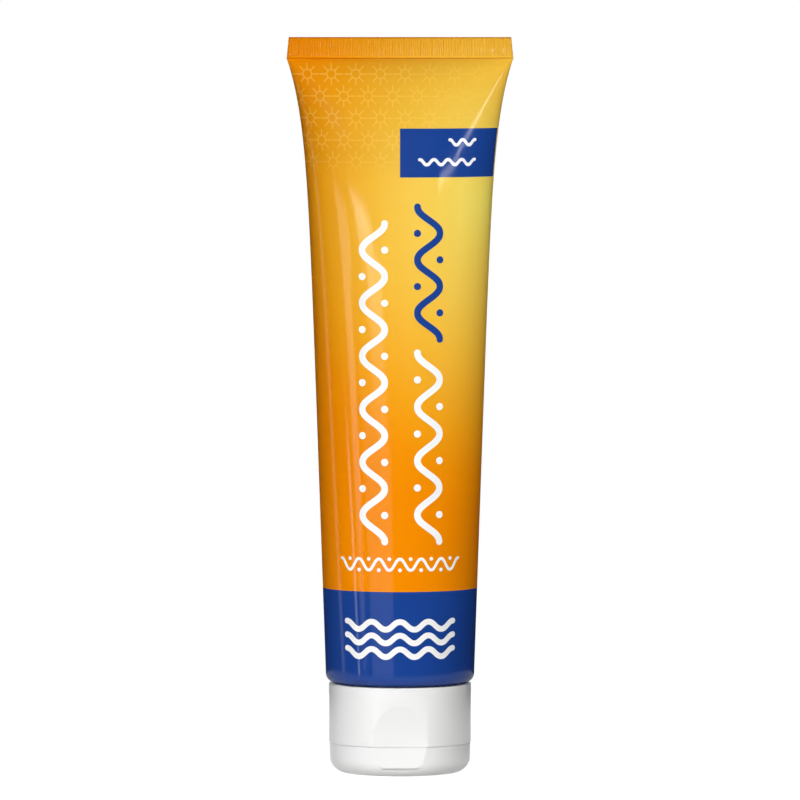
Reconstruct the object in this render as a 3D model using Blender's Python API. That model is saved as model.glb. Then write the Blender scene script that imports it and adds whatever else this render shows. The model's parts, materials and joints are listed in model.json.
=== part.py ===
"""A sunscreen tube that stands on its flip-top cap.

A soft sleeve is round at the cap and pressed flat at its far end. Inside it are the shoulder and neck that
it is welded to, and the lotion. The cap snaps over the neck, and its lid turns on a living hinge.

Metres, +Z up. The origin lies on the floor under the middle of the cap. The thumb recess faces -Y, the
hinge is at +Y, and the flat seal runs along X.
"""

import math

import bmesh
import bpy
from mathutils import Matrix, Vector

# Overall sizes
SLEEVE_RADIUS = 0.0175
SLEEVE_LENGTH = 0.1519
BASE_HEIGHT = 0.0139
LID_HEIGHT = 0.0069

# Clearances
SEAM_GAP = 0.0002
SEAT_GAP = 0.0002
FIT_GAP = 0.00025

# Lid, on which the tube stands
LID_STEP = 0.00015
LID_DRAFT = 0.00005
LID_WALL = 0.0012
LID_FLOOR = 0.0014
LID_FOOT_ROUND = 0.0036
PLUG_TAPER = 0.00035
PLUG_GAP = 0.0003
PLUG_REACH = 0.0005
PLUG_FOOT = 0.0006

# Fixed half of the cap
CAP_STEP = 0.00078
BASE_WALL = 0.0012
DECK_THICKNESS = 0.0013
CAP_EDGE = 0.0003
NOZZLE_HEIGHT = 0.0025
NOZZLE_TIP_RADIUS = 0.0030
NOZZLE_ROOT_RADIUS = 0.0045
NOZZLE_HOLE_RADIUS = 0.00175
NOZZLE_EDGE = 0.0004
SEAL_RING_WALL = 0.00075
SEAL_RING_REACH = 0.00015
LOCATING_RING_GAP = 0.0005
LOCATING_RING_WIDTH = 0.0009
LOCATING_RING_HEIGHT = 0.0008
SOCKET_WALL = 0.0010
BASE_RIBS = 6
BASE_RIB_WIDTH = 0.0009
BASE_RIB_HEIGHT = 0.0056

# Thumb recess across both halves of the cap
SCOOP_RADIUS = 0.0340
SCOOP_DEPTH = 0.00134
SCOOP_RISE = 0.0006
SCOOP_LEDGE = 0.0022

# Hinge
HINGE_INSET = 0.0003
FILM_WIDTH = 0.0050
FILM_THICKNESS = 0.0003
FILM_WAIST = 0.0002
FILM_HEIGHT = 0.0028
NOTCH_WIDTH = 0.0100
NOTCH_HEIGHT = 0.0050
STRAP_ANGLE = math.radians(31)
STRAP_WIDTH = 0.0022
STRAP_HEIGHT = 0.0038
STRAP_THICKNESS = 0.0003
POCKET_DEPTH = 0.00065

# Shoulder and neck
NECK_RADIUS = 0.0070
NECK_BORE_RADIUS = 0.0054
NECK_LENGTH = 0.0106
NECK_ROOT_ROUND = 0.0012
HEAD_WALL = 0.0012
MOUTH_PLATE = 0.0010
MOUTH_CHAMFER = 0.0004
BEAD_RISE = 0.00035
BEAD_HEIGHT = 0.0005
BEAD_FROM_MOUTH = 0.0024
BEAD_FLANK = 0.0002
BEAD_LEAD_IN = 0.0010
HEAD_SKIRT = 0.0017

# Sleeve
SLEEVE_WALL = 0.0005
SLEEVE_CORNER = 0.0021
SLEEVE_LIP = 0.0002
SIDE_SPREAD = 0.0050
FLARE_LENGTH = 0.0134
SEAL_DRAW = 0.0017
CRIMP_HEIGHT = 0.0054
CRIMP_THICKNESS = 0.0010
CRIMP_RIB_PITCH = 0.0007
CRIMP_RIB_DEPTH = 0.00012
CRIMP_ROOT = 0.0015
SEAL_MARGIN = 0.0012

# Lotion: this height above the sleeve's lower end holds 100 ml
FILL_HEIGHT = 0.1180

# Fineness
CAP_SEGMENTS = 52
HEAD_SEGMENTS = 36
SLEEVE_SEGMENTS = 56
FILL_SEGMENTS = 32
CORNER_STEPS = 4
SLEEVE_RINGS = 15
FILL_RINGS = 8
SCOOP_STEPS = 16
STRAP_STEPS = 3
RING_CROWDING = 1.6
OVERRUN = 0.0010
BITE = 0.0003
MERGE_DISTANCE = 0.000001
SMOOTH_ANGLE = math.radians(35)

# Levels, from the floor up
SEAM = LID_HEIGHT + SEAM_GAP / 2
DECK_UNDERSIDE = LID_HEIGHT + SEAM_GAP
DECK_TOP = DECK_UNDERSIDE + DECK_THICKNESS
NOZZLE_TIP = DECK_UNDERSIDE - NOZZLE_HEIGHT
BASE_TOP = DECK_UNDERSIDE + BASE_HEIGHT
NECK_MOUTH = DECK_TOP + FIT_GAP
BEAD_LOW = NECK_MOUTH + BEAD_FROM_MOUTH
BEAD_TOP = BEAD_LOW + BEAD_HEIGHT
NECK_ROOT = NECK_MOUTH + NECK_LENGTH
SLEEVE_LOW = BASE_TOP + SEAT_GAP
CORNER_CENTRE = SLEEVE_LOW + SLEEVE_CORNER
SLEEVE_TOP = SLEEVE_LOW + SLEEVE_LENGTH
CRIMP_LOW = SLEEVE_TOP - CRIMP_HEIGHT
CAVITY_TOP = CRIMP_LOW - SEAL_MARGIN
FILL_TOP = SLEEVE_LOW + FILL_HEIGHT

# Radii and widths that follow from the sizes above
BASE_RADIUS = SLEEVE_RADIUS - CAP_STEP
LID_RADIUS = BASE_RADIUS - LID_STEP
LID_FOOT_RADIUS = LID_RADIUS - LID_DRAFT
LID_INNER_ROUND = LID_FOOT_ROUND - LID_WALL
CRIMP_WIDTH = math.pi * SLEEVE_RADIUS - SEAL_DRAW
CRIMP_RIBS = round(CRIMP_WIDTH / CRIMP_RIB_PITCH)
CORNER_RADIUS = SLEEVE_RADIUS - SLEEVE_CORNER
LIP_RADIUS = CORNER_RADIUS - SLEEVE_LIP
LID_INSIDE = LID_RADIUS - LID_WALL
BASE_INSIDE = BASE_RADIUS - BASE_WALL
PLUG_RADIUS = NOZZLE_HOLE_RADIUS - PLUG_GAP
SEAL_RING_RADIUS = NOZZLE_HOLE_RADIUS + SEAL_RING_WALL
HEAD_HOLE_RADIUS = SEAL_RING_RADIUS + FIT_GAP
BEAD_RADIUS = NECK_RADIUS + BEAD_RISE
SOCKET_LIP_RADIUS = NECK_RADIUS + FIT_GAP
SOCKET_GROOVE_RADIUS = BEAD_RADIUS + FIT_GAP
SOCKET_RADIUS = SOCKET_GROOVE_RADIUS + SOCKET_WALL
SHOULDER_EDGE = LIP_RADIUS - FIT_GAP
HINGE_Y = BASE_RADIUS - HINGE_INSET
NOTCH_Y = HINGE_Y - FILM_THICKNESS / 2 - SEAM_GAP
POCKET_RADIUS = LID_RADIUS - POCKET_DEPTH
SCOOP_Y = SCOOP_DEPTH - BASE_RADIUS - SCOOP_RADIUS
SCOOP_Z = SEAM + SCOOP_RISE


def clear_scene():
    for thing in list(bpy.data.objects):
        bpy.data.objects.remove(thing, do_unlink=True)


def plastic(name, colour, roughness, metallic=0.0):
    made = bpy.data.materials.new(name)
    made.use_nodes = True
    shader = made.node_tree.nodes["Principled BSDF"]
    shader.inputs["Base Color"].default_value = (*colour, 1.0)
    shader.inputs["Roughness"].default_value = roughness
    shader.inputs["Metallic"].default_value = metallic
    made.diffuse_color = (*colour, 1.0)
    return made


def add_object(name, bm, material=None):
    """Turns a bmesh into a smooth object in the scene. Without a material it is a cutter."""
    bmesh.ops.recalc_face_normals(bm, faces=bm.faces)
    mesh = bpy.data.meshes.new(name)
    bm.to_mesh(mesh)
    bm.free()
    mesh.shade_smooth()
    mesh.set_sharp_from_angle(angle=SMOOTH_ANGLE)
    made = bpy.data.objects.new(name, mesh)
    bpy.context.scene.collection.objects.link(made)
    if material:
        mesh.materials.append(material)
    else:
        made.hide_render = True
        made.display_type = "WIRE"
    return made


def combine(target, other, operation):
    step = target.modifiers.new(other.name, "BOOLEAN")
    step.operation = operation
    step.object = other
    step.solver = "EXACT"


def move_origin(thing, point):
    thing.data.transform(Matrix.Translation(-point))
    thing.location = point


def arc(centre, radius, start, end, steps):
    """Points in a plane on an arc between two angles in degrees, both ends included."""
    angles = [math.radians(start + (end - start) * i / steps) for i in range(steps + 1)]
    return [(centre[0] + radius * math.cos(t), centre[1] + radius * math.sin(t)) for t in angles]


def turned(name, outline, segments, material=None):
    """Spins an (r, z) outline about Z. It is a closed loop, or a chain with both ends on the axis."""
    bm = bmesh.new()
    points = [bm.verts.new((r, 0.0, z)) for r, z in outline]
    edges = [bm.edges.new(pair) for pair in zip(points, points[1:])]
    if outline[0][0] > 0 or outline[-1][0] > 0:
        edges.append(bm.edges.new((points[-1], points[0])))
    bmesh.ops.spin(bm, geom=points + edges, cent=(0, 0, 0), axis=(0, 0, 1), angle=math.tau, steps=segments)
    bmesh.ops.remove_doubles(bm, verts=bm.verts, dist=MERGE_DISTANCE)
    return add_object(name, bm, material)


def prism(name, outline, along, material=None):
    """Extrudes a flat outline of 3-D points along a vector."""
    bm = bmesh.new()
    face = bm.faces.new([bm.verts.new(p) for p in outline])
    grown = bmesh.ops.extrude_face_region(bm, geom=[face])["geom"]
    moved = [g for g in grown if isinstance(g, bmesh.types.BMVert)]
    bmesh.ops.translate(bm, verts=moved, vec=along)
    return add_object(name, bm, material)


def lofted(name, rings, material=None):
    """Joins rings of points, all of one count, with faces, and closes the first and the last."""
    bm = bmesh.new()
    loops = [[bm.verts.new(p) for p in ring] for ring in rings]
    for low, high in zip(loops, loops[1:]):
        for i in range(len(low)):
            bm.faces.new((low[i - 1], low[i], high[i], high[i - 1]))
    bm.faces.new(loops[0])
    bm.faces.new(loops[-1])
    return add_object(name, bm, material)


def ellipse(z, half_width, half_depth, segments):
    turns = [math.tau * i / segments for i in range(segments)]
    return [(half_width * math.cos(t), half_depth * math.sin(t), z) for t in turns]


def girth_radius(half_width, half_depth):
    """Radius of the circle that is as long round as this ellipse."""
    spread = (3 * half_width + half_depth) * (half_width + 3 * half_depth)
    return (3 * (half_width + half_depth) - math.sqrt(spread)) / 2


def depth_from_girth(half_width, radius):
    """Half-depth of the ellipse with this half-width that is as long round as a circle."""
    linear = 6 * radius - 4 * half_width
    rest = 3 * half_width**2 - 6 * radius * half_width + 2 * radius**2
    return (linear + math.sqrt(linear**2 - 12 * rest)) / 6


def sleeve_half_width(z):
    """The sides spread steadily from the round end, and flare just before the flat seal."""
    steady = SIDE_SPREAD * (z - CORNER_CENTRE) / (CRIMP_LOW - CORNER_CENTRE)
    flare = CRIMP_WIDTH / 2 - SLEEVE_RADIUS - SIDE_SPREAD
    return SLEEVE_RADIUS + steady + flare * math.exp((z - CRIMP_LOW) / FLARE_LENGTH)


def sleeve_half_depth(z):
    """The sleeve doesn't stretch, so it gets thinner as it spreads. The seal draws it in a little."""
    pressed = girth_radius(CRIMP_WIDTH / 2, CRIMP_THICKNESS / 2)
    radius = SLEEVE_RADIUS - (SLEEVE_RADIUS - pressed) * math.exp((z - CRIMP_LOW) / FLARE_LENGTH)
    return depth_from_girth(sleeve_half_width(z), radius)


def sleeve_ring(z, inset, segments):
    return ellipse(z, sleeve_half_width(z) - inset, sleeve_half_depth(z) - inset, segments)


def corner_rings(inset, segments):
    """The turned-in lip and rounded corner at the sleeve's lower end."""
    corner = arc((CORNER_RADIUS, CORNER_CENTRE), SLEEVE_CORNER - inset, -90, 0, CORNER_STEPS)
    outline = [(LIP_RADIUS, SLEEVE_LOW + inset)] + corner
    return [ellipse(z, r, r, segments) for r, z in outline]


def ring_levels(low, high, count):
    """Levels above low, closer together towards high."""
    return [high - (high - low) * (1 - i / count) ** RING_CROWDING for i in range(1, count + 1)]


def crimp_plate():
    """The pressed seal: a flat bar with fine ribs on both faces."""
    half_width = CRIMP_WIDTH / 2
    land = CRIMP_THICKNESS / 2 + CRIMP_RIB_DEPTH / 2
    groove = CRIMP_THICKNESS / 2 - CRIMP_RIB_DEPTH / 2
    steps = 2 * CRIMP_RIBS
    face = [(CRIMP_WIDTH * i / steps - half_width, land if i % 2 else groove) for i in range(steps + 1)]
    front = [(x, -y, CRIMP_LOW) for x, y in face]
    back = [(x, y, CRIMP_LOW) for x, y in reversed(face)]
    return prism("crimp_plate", front + back, Vector((0, 0, CRIMP_HEIGHT)))


def tube_sleeve():
    inner_levels = ring_levels(CORNER_CENTRE, CAVITY_TOP, SLEEVE_RINGS - 2)
    inner = corner_rings(SLEEVE_WALL, SLEEVE_SEGMENTS)
    inner += [sleeve_ring(z, SLEEVE_WALL, SLEEVE_SEGMENTS) for z in inner_levels]
    outer = corner_rings(0, SLEEVE_SEGMENTS)
    outer += [sleeve_ring(z, 0, SLEEVE_SEGMENTS) for z in ring_levels(CORNER_CENTRE, CRIMP_LOW, SLEEVE_RINGS)]
    root_size = (CRIMP_WIDTH / 2 - BITE, CRIMP_THICKNESS / 2 - BITE)
    root = ellipse(CRIMP_LOW + CRIMP_ROOT, *root_size, SLEEVE_SEGMENTS)
    orange = plastic("sleeve_print", (0.95, 0.42, 0.02), 0.25)
    sleeve = lofted("tube_sleeve", inner[::-1] + outer + [root], orange)
    combine(sleeve, crimp_plate(), "UNION")


def shoulder_underside(radius):
    """Height of the shoulder's lower face, a shallow cone between the neck and the sleeve's lip."""
    low_radius = NECK_RADIUS + NECK_ROOT_ROUND
    rise = SLEEVE_LOW - NECK_ROOT
    return NECK_ROOT + rise * (radius - low_radius) / (SHOULDER_EDGE - low_radius)


def tube_head():
    """Shoulder and neck in one moulding, with the bead that holds the cap."""
    skirt_inset = SLEEVE_WALL + FIT_GAP
    skirt_top = CORNER_CENTRE + HEAD_SKIRT
    skirt_radius = SLEEVE_RADIUS - skirt_inset
    corner = arc((CORNER_RADIUS, CORNER_CENTRE), SLEEVE_CORNER - skirt_inset, 0, -90, CORNER_STEPS)
    root_centre = (NECK_RADIUS + NECK_ROOT_ROUND, NECK_ROOT - NECK_ROOT_ROUND)
    outside = [(skirt_radius, skirt_top), *corner]
    outside += [(SHOULDER_EDGE, SLEEVE_LOW + skirt_inset), (SHOULDER_EDGE, SLEEVE_LOW)]
    outside += arc(root_centre, NECK_ROOT_ROUND, 90, 180, CORNER_STEPS)
    outside += [
        (NECK_RADIUS, BEAD_TOP + BEAD_FLANK),
        (BEAD_RADIUS, BEAD_TOP),
        (BEAD_RADIUS, BEAD_LOW),
        (NECK_RADIUS, BEAD_LOW - BEAD_LEAD_IN),
        (NECK_RADIUS, NECK_MOUTH + MOUTH_CHAMFER),
        (NECK_RADIUS - MOUTH_CHAMFER, NECK_MOUTH),
    ]
    inside = [
        (HEAD_HOLE_RADIUS, NECK_MOUTH),
        (HEAD_HOLE_RADIUS, NECK_MOUTH + MOUTH_PLATE),
        (NECK_BORE_RADIUS, NECK_MOUTH + MOUTH_PLATE),
        (NECK_BORE_RADIUS, shoulder_underside(NECK_BORE_RADIUS) + HEAD_WALL),
        (skirt_radius - HEAD_WALL, shoulder_underside(SHOULDER_EDGE) + HEAD_WALL),
        (skirt_radius - HEAD_WALL, skirt_top),
    ]
    white = plastic("head_plastic", (0.86, 0.86, 0.84), 0.4)
    turned("tube_head", outside + inside, HEAD_SEGMENTS, white)


def lotion_fill():
    """Lotion from the neck's mouth up to the fill level, a fit gap inside the walls."""
    bore = NECK_BORE_RADIUS - FIT_GAP
    skirt = SLEEVE_RADIUS - SLEEVE_WALL - 2 * FIT_GAP - HEAD_WALL
    over_head = CORNER_CENTRE + HEAD_SKIRT + FIT_GAP
    lower = [
        (bore, NECK_MOUTH + MOUTH_PLATE + FIT_GAP),
        (bore, shoulder_underside(NECK_BORE_RADIUS) + HEAD_WALL + FIT_GAP),
        (skirt, shoulder_underside(SHOULDER_EDGE) + HEAD_WALL + FIT_GAP),
        (skirt, over_head),
    ]
    rings = [ellipse(z, r, r, FILL_SEGMENTS) for r, z in lower]
    inset = SLEEVE_WALL + FIT_GAP
    levels = [over_head + (FILL_TOP - over_head) * i / FILL_RINGS for i in range(FILL_RINGS + 1)]
    rings += [sleeve_ring(z, inset, FILL_SEGMENTS) for z in levels]
    cream = plastic("lotion", (0.93, 0.90, 0.82), 0.35)
    lofted("lotion_fill", rings, cream)


def scoop_level(grown, y):
    """Height at which the recess's round back, grown by a wall, comes forward to y."""
    return SCOOP_Z + math.sqrt((SCOOP_RADIUS + grown) ** 2 - (y - SCOOP_Y) ** 2)


def scoop_block(name, grown, low, high):
    """A block in front of the cap whose back is the thumb recess's, grown by a wall."""
    radius = SCOOP_RADIUS + grown
    start, end = [math.degrees(math.asin((z - SCOOP_Z) / radius)) for z in (low, high)]
    front_y = -BASE_RADIUS - OVERRUN
    back = arc((SCOOP_Y, SCOOP_Z), radius, start, end, SCOOP_STEPS)
    outline = [(-BASE_RADIUS, y, z) for y, z in [(front_y, low), *back, (front_y, high)]]
    return prism(name, outline, Vector((2 * BASE_RADIUS, 0, 0)))


def scoop_boss(name, outline, high):
    """The thickening behind the thumb recess: an outline turned about the axis, up to a level."""
    boss = turned(name, [*outline, (0, high)], CAP_SEGMENTS)
    low = outline[0][1]
    combine(boss, scoop_block(name + "_back", BASE_WALL, low - BITE, high + BITE), "INTERSECT")
    return boss


def base_boss():
    low = DECK_TOP - BITE
    high = scoop_level(BASE_WALL, -BASE_INSIDE)
    outside = BASE_INSIDE + BITE
    return scoop_boss("base_boss", [(0, low), (outside, low), (outside, high)], high)


def lid_inner_corner(bite):
    """The round between the lid's wall and its floor, or the same round sunk into both."""
    centre = (LID_FOOT_RADIUS - LID_FOOT_ROUND, LID_FLOOR + LID_INNER_ROUND)
    return arc(centre, LID_INNER_ROUND + bite, -90, 0, CORNER_STEPS)


def lid_boss():
    corner = lid_inner_corner(BITE)
    outline = [(0, LID_FLOOR - BITE), *corner, (LID_INSIDE + BITE, LID_HEIGHT)]
    return scoop_boss("lid_boss", outline, LID_HEIGHT)


def ring_sector(name, inner, outer, low, high, middle, half_angle, material=None):
    """A curved block about the cap's axis, centred on a direction in degrees from +X."""
    rings = []
    for i in range(STRAP_STEPS + 1):
        turn = middle + half_angle * (2 * i / STRAP_STEPS - 1)
        flat = [(inner, low), (outer, low), (outer, high), (inner, high)]
        rings.append([(r * math.cos(turn), r * math.sin(turn), z) for r, z in flat])
    return lofted(name, rings, material)


def hinge_cutters():
    """The flat notch that the film lies in, and a pocket for each strap, cut in both halves."""
    low = SEAM - NOTCH_HEIGHT / 2
    corners = [(-1, -1), (1, -1), (1, 1), (-1, 1)]
    outline = [(NOTCH_WIDTH / 2 * x, NOTCH_Y, SEAM + NOTCH_HEIGHT / 2 * z) for x, z in corners]
    cutters = [prism("hinge_notch", outline, Vector((0, BASE_RADIUS - NOTCH_Y + OVERRUN, 0)))]
    for side, turn in strap_turns():
        half_angle = (STRAP_WIDTH / 2 + SEAM_GAP) / POCKET_RADIUS
        tall = STRAP_HEIGHT / 2 + SEAM_GAP
        outer = BASE_RADIUS + OVERRUN
        pocket = ("strap_pocket_" + side, POCKET_RADIUS, outer, SEAM - tall, SEAM + tall)
        cutters.append(ring_sector(*pocket, turn, half_angle))
    return cutters


def strap_turns():
    back = math.pi / 2
    return [("left", back + STRAP_ANGLE), ("right", back - STRAP_ANGLE)]


def base_outline():
    """Half section of the cap's fixed half, round its closed loop from the nozzle's hole."""
    ring_outer = LID_INSIDE - LOCATING_RING_GAP
    ring_inner = ring_outer - LOCATING_RING_WIDTH
    ring_low = DECK_UNDERSIDE - LOCATING_RING_HEIGHT
    socket_top = shoulder_underside(SOCKET_RADIUS) - FIT_GAP
    catch = BEAD_TOP + BEAD_FLANK + FIT_GAP
    return [
        (NOZZLE_HOLE_RADIUS, NOZZLE_TIP),
        (NOZZLE_TIP_RADIUS - NOZZLE_EDGE, NOZZLE_TIP),
        (NOZZLE_TIP_RADIUS, NOZZLE_TIP + NOZZLE_EDGE),
        (NOZZLE_ROOT_RADIUS - NOZZLE_EDGE, DECK_UNDERSIDE - NOZZLE_EDGE),
        (NOZZLE_ROOT_RADIUS, DECK_UNDERSIDE),
        (ring_inner, DECK_UNDERSIDE),
        (ring_inner, ring_low),
        (ring_outer, ring_low),
        (ring_outer, DECK_UNDERSIDE),
        *arc((BASE_RADIUS - CAP_EDGE, DECK_UNDERSIDE + CAP_EDGE), CAP_EDGE, -90, 0, 2),
        *arc((BASE_RADIUS - CAP_EDGE, BASE_TOP - CAP_EDGE), CAP_EDGE, 0, 90, 2),
        (BASE_INSIDE, BASE_TOP),
        (BASE_INSIDE, DECK_TOP),
        (SOCKET_RADIUS, DECK_TOP),
        (SOCKET_RADIUS, socket_top),
        (SOCKET_LIP_RADIUS + NECK_ROOT_ROUND / 2, socket_top),
        (SOCKET_LIP_RADIUS, socket_top - NECK_ROOT_ROUND),
        (SOCKET_LIP_RADIUS, catch),
        (SOCKET_GROOVE_RADIUS, catch - BEAD_FLANK),
        (SOCKET_GROOVE_RADIUS, BEAD_LOW),
        (SOCKET_LIP_RADIUS, BEAD_LOW - BEAD_LEAD_IN),
        (SOCKET_LIP_RADIUS, DECK_TOP),
        (SEAL_RING_RADIUS, DECK_TOP),
        (SEAL_RING_RADIUS, NECK_MOUTH + MOUTH_PLATE + SEAL_RING_REACH),
        (NOZZLE_HOLE_RADIUS, NECK_MOUTH + MOUTH_PLATE + SEAL_RING_REACH),
    ]


def base_ribs():
    """Ribs that tie the neck socket to the skirt."""
    bm = bmesh.new()
    length = BASE_INSIDE - SOCKET_RADIUS + 2 * BITE
    size = Vector((length, BASE_RIB_WIDTH, BASE_RIB_HEIGHT + BITE))
    middle = Vector(((SOCKET_RADIUS + BASE_INSIDE) / 2, 0, DECK_TOP - BITE + size.z / 2))
    for i in range(BASE_RIBS):
        turn = Matrix.Rotation(math.tau * i / BASE_RIBS, 4, "Z")
        place = turn @ Matrix.Translation(middle) @ Matrix.Diagonal((*size, 1))
        bmesh.ops.create_cube(bm, size=1, matrix=place)
    return add_object("base_ribs", bm)


def cap_base(white, cuts):
    """The cap's fixed half. Its locating ring stops short of the lid's boss."""
    base = turned("cap_base", base_outline(), CAP_SEGMENTS, white)
    ring_low = DECK_UNDERSIDE - LOCATING_RING_HEIGHT
    boss_room = scoop_block("boss_room", BASE_WALL + LOCATING_RING_GAP, ring_low - OVERRUN, DECK_UNDERSIDE)
    combine(base, boss_room, "DIFFERENCE")
    combine(base, base_ribs(), "UNION")
    combine(base, base_boss(), "UNION")
    for cutter in cuts:
        combine(base, cutter, "DIFFERENCE")


def lid_outline():
    """Half section of the lid from the axis under its foot, up the wall, to the tip of its plug."""
    plug_tip = DECK_UNDERSIDE + PLUG_REACH
    return [
        (0, 0),
        *arc((LID_FOOT_RADIUS - LID_FOOT_ROUND, LID_FOOT_ROUND), LID_FOOT_ROUND, -90, 0, 2 * CORNER_STEPS),
        (LID_RADIUS, LID_HEIGHT - CAP_EDGE),
        (LID_RADIUS - CAP_EDGE, LID_HEIGHT),
        (LID_INSIDE, LID_HEIGHT),
        *reversed(lid_inner_corner(0)),
        (PLUG_RADIUS + PLUG_FOOT, LID_FLOOR),
        (PLUG_RADIUS, LID_FLOOR + PLUG_FOOT),
        (PLUG_RADIUS, DECK_UNDERSIDE - PLUG_TAPER),
        (PLUG_RADIUS - PLUG_TAPER, plug_tip),
        (0, plug_tip),
    ]


def cap_lid(white, cuts):
    lid = turned("cap_lid", lid_outline(), CAP_SEGMENTS, white)
    combine(lid, lid_boss(), "UNION")
    for cutter in cuts:
        combine(lid, cutter, "DIFFERENCE")
    move_origin(lid, Vector((0, HINGE_Y, SEAM)))


def hinge_film(white):
    """The living hinge: a strip that is thinnest on the seam."""
    full = FILM_THICKNESS / 2
    waist = FILM_WAIST / 2
    tall = FILM_HEIGHT / 2
    outline = [(-full, -tall), (full, -tall), (waist, 0), (full, tall), (-full, tall), (-waist, 0)]
    placed = [(-FILM_WIDTH / 2, HINGE_Y + y, SEAM + z) for y, z in outline]
    film = prism("hinge_film", placed, Vector((FILM_WIDTH, 0, 0)), white)
    move_origin(film, Vector((0, HINGE_Y, SEAM)))


def hinge_straps(white):
    """Two bands beside the film that pull the lid open or shut past its middle."""
    inner = POCKET_RADIUS + SEAM_GAP
    outer = inner + STRAP_THICKNESS
    for side, turn in strap_turns():
        ends = (SEAM - STRAP_HEIGHT / 2, SEAM + STRAP_HEIGHT / 2)
        strap = ring_sector("hinge_strap_" + side, inner, outer, *ends, turn, STRAP_WIDTH / 2 / inner, white)
        move_origin(strap, Vector((0, HINGE_Y, SEAM)))


def build():
    clear_scene()
    white = plastic("cap_plastic", (0.88, 0.88, 0.87), 0.35)
    scoop = scoop_block("thumb_scoop", 0, SCOOP_LEDGE, scoop_level(0, -BASE_RADIUS))
    cuts = [scoop, *hinge_cutters()]
    tube_sleeve()
    tube_head()
    lotion_fill()
    cap_base(white, cuts)
    cap_lid(white, cuts)
    hinge_film(white)
    hinge_straps(white)


build()
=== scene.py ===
"""The looks of a sunscreen tube that stands on its flip-top cap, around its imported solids.

Metres, +Z up. The origin lies on the floor under the middle of the cap, and the thumb recess faces -Y.
"""

import functools
import json
import math

import bmesh
import bpy
import numpy as np
from mathutils import Matrix, Vector


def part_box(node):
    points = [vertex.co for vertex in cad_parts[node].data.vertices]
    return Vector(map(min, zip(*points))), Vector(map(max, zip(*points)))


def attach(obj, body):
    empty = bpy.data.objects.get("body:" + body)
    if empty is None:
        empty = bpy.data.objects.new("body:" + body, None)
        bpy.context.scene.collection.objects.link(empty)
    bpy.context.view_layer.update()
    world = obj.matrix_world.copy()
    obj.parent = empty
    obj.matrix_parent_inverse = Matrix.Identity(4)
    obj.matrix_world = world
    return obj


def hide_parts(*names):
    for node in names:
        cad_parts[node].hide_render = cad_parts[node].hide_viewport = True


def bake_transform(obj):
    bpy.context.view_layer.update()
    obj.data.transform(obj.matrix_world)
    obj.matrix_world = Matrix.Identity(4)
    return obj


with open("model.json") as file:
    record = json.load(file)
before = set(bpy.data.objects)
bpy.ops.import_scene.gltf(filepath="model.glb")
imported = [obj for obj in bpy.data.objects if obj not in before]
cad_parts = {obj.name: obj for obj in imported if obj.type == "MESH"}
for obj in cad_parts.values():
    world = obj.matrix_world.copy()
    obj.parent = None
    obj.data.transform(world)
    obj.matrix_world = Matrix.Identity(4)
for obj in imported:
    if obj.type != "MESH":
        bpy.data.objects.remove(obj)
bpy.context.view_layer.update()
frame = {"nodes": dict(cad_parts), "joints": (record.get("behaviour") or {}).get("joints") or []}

# Boxes of the solids, as (lowest corner, highest corner)
SLEEVE_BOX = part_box("tube_sleeve")
HEAD_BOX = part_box("tube_head")
FILL_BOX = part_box("lotion_fill")
BASE_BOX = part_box("cap_base")
LID_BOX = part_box("cap_lid")
FILM_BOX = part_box("hinge_film")
HINGE = frame["joints"][0]["pos_m"]

# Sizes that the boxes give
SLEEVE_LOW = SLEEVE_BOX[0][2]
SLEEVE_TOP = SLEEVE_BOX[1][2]
SLEEVE_RADIUS = SLEEVE_BOX[1][1]
CRIMP_HALF_WIDTH = SLEEVE_BOX[1][0]
BASE_RADIUS = BASE_BOX[1][0]
BASE_TOP = BASE_BOX[1][2]
NOZZLE_TIP = BASE_BOX[0][2]
LID_RADIUS = LID_BOX[1][0]
PLUG_TIP = LID_BOX[1][2]
HINGE_Y = HINGE[1]
SEAM = HINGE[2]
NECK_MOUTH = HEAD_BOX[0][2]
FILL_TOP = FILL_BOX[1][2]

# Sleeve
SLEEVE_WALL = 0.0005
SLEEVE_CORNER = 0.0021
SLEEVE_LIP = 0.0002
SIDE_SPREAD = 0.0050
FLARE_LENGTH = 0.0134
SEAL_MARGIN = 0.0012
CRIMP_HEIGHT = 0.0050
CRIMP_THICKNESS = 0.0010
CRIMP_CORNER = 0.0003
CRIMP_END_SHARE = 0.15
CRIMP_DRAW_IN = 0.0005
CRIMP_LINE_DEPTH = 0.00012
CRIMP_LINE_WIDTH = 0.0004
CRIMP_RIB_PITCH = 0.00055
CRIMP_RIB_DEPTH = 0.0001
# What makes the ribs uneven: two waves that shift them, as (pitch, radians), and one that weakens some
CRIMP_RIB_DRIFTS = [(0.0031, 1.1), (0.00137, 0.8)]
CRIMP_RIB_FADE_PITCH = 0.00243
CRIMP_RIB_FADE_PHASE = 0.7
CRIMP_RIB_FADE_SHARE = 0.35

# Cap
SEAM_GAP = 0.0002
SEAM_LINE = 0.00006
FIT_GAP = 0.00025
LID_DRAFT = 0.00005
LID_WALL = 0.0012
LID_FLOOR = 0.0014
LID_FOOT_ROUND = 0.0036
CAP_EDGE = 0.0002
PLUG_GAP = 0.0003
PLUG_TAPER = 0.00035
PLUG_FOOT = 0.0006
BASE_WALL = 0.0012
DECK_THICKNESS = 0.0013
NOZZLE_TIP_RADIUS = 0.0030
NOZZLE_ROOT_RADIUS = 0.0045
NOZZLE_HOLE_RADIUS = 0.00175
NOZZLE_EDGE = 0.0004
SEAL_RING_WALL = 0.00075
SEAL_RING_HEIGHT = 0.0014
LOCATING_RING_GAP = 0.0005
LOCATING_RING_WIDTH = 0.0009
LOCATING_RING_HEIGHT = 0.0008
SOCKET_WALL = 0.0010
BASE_RIBS = 6
BASE_RIB_WIDTH = 0.0009
BASE_RIB_HEIGHT = 0.0056
SCOOP_RADIUS = 0.0288
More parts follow.
